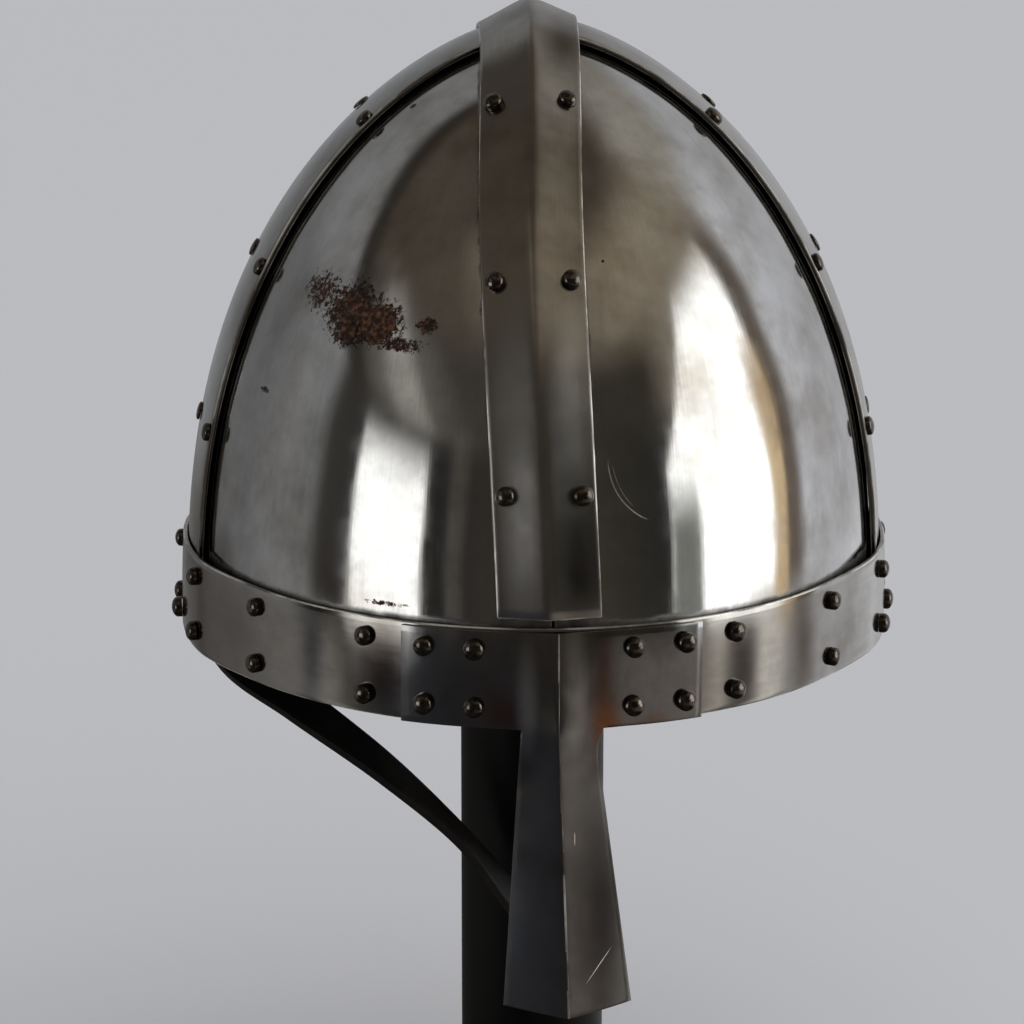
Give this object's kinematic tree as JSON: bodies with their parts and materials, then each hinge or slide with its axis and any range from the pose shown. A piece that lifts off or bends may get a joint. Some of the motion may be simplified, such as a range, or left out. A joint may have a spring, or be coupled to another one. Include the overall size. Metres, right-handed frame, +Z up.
{
  "type": "riveted iron nasal helmet on a post stand",
  "caption": "Open-faced riveted iron helmet: a pointed dome of plates under crossing bands, a brow band with a flared nasal bar, a leather chin strap, and a plain post stand.",
  "frame": {"origin": "centre of the stand's underside, on the floor", "axes": "+Z up, -Y the way the helmet faces, +X to the right as seen from the front"},
  "size_m": [0.2031, 0.2365, 0.3623],
  "materials": {
    "plate_steel": "hand polished, with rust specks and a dark patina",
    "band_steel": "satin polished with dark edges",
    "rivet_steel": "dark, glossy domed heads",
    "strap_leather": "black, matt, worn",
    "stand_paint": "matt black paint"
  },
  "bodies": {
    "root": {"brow_band": "band_steel", "brow_rivet_left_high_1": "rivet_steel", "brow_rivet_left_high_2": "rivet_steel", "brow_rivet_left_high_3": "rivet_steel", "brow_rivet_left_high_4": "rivet_steel", "brow_rivet_left_low_1": "rivet_steel", "brow_rivet_left_low_2": "rivet_steel", "brow_rivet_left_low_3": "rivet_steel", "brow_rivet_left_low_4": "rivet_steel", "brow_rivet_right_high_1": "rivet_steel", "brow_rivet_right_high_2": "rivet_steel", "brow_rivet_right_high_3": "rivet_steel", "brow_rivet_right_high_4": "rivet_steel", "brow_rivet_right_low_1": "rivet_steel", "brow_rivet_right_low_2": "rivet_steel", "brow_rivet_right_low_3": "rivet_steel", "brow_rivet_right_low_4": "rivet_steel", "chin_strap": "strap_leather", "guard_rivet_high_1": "rivet_steel", "guard_rivet_high_2": "rivet_steel", "guard_rivet_high_3": "rivet_steel", "guard_rivet_high_4": "rivet_steel", "guard_rivet_low_1": "rivet_steel", "guard_rivet_low_2": "rivet_steel", "guard_rivet_low_3": "rivet_steel", "guard_rivet_low_4": "rivet_steel", "nasal_guard": "band_steel", "plate_back_left": "plate_steel", "plate_back_right": "plate_steel", "plate_front_left": "plate_steel", "plate_front_right": "plate_steel", "ridge_band": "band_steel", "ridge_rivet_left_1": "rivet_steel", "ridge_rivet_left_2": "rivet_steel", "ridge_rivet_left_3": "rivet_steel", "ridge_rivet_right_1": "rivet_steel", "ridge_rivet_right_2": "rivet_steel", "ridge_rivet_right_3": "rivet_steel", "side_band_left": "band_steel", "side_band_right": "band_steel", "side_rivet_left_back_1": "rivet_steel", "side_rivet_left_back_2": "rivet_steel", "side_rivet_left_back_3": "rivet_steel", "side_rivet_left_front_1": "rivet_steel", "side_rivet_left_front_2": "rivet_steel", "side_rivet_left_front_3": "rivet_steel", "side_rivet_right_back_1": "rivet_steel", "side_rivet_right_back_2": "rivet_steel", "side_rivet_right_back_3": "rivet_steel", "side_rivet_right_front_1": "rivet_steel", "side_rivet_right_front_2": "rivet_steel", "side_rivet_right_front_3": "rivet_steel", "stand_base": "stand_paint", "stand_cap": "stand_paint", "stand_post": "stand_paint", "strap_rivet_left": "rivet_steel", "strap_rivet_right": "rivet_steel"}
  },
  "joints": []
}
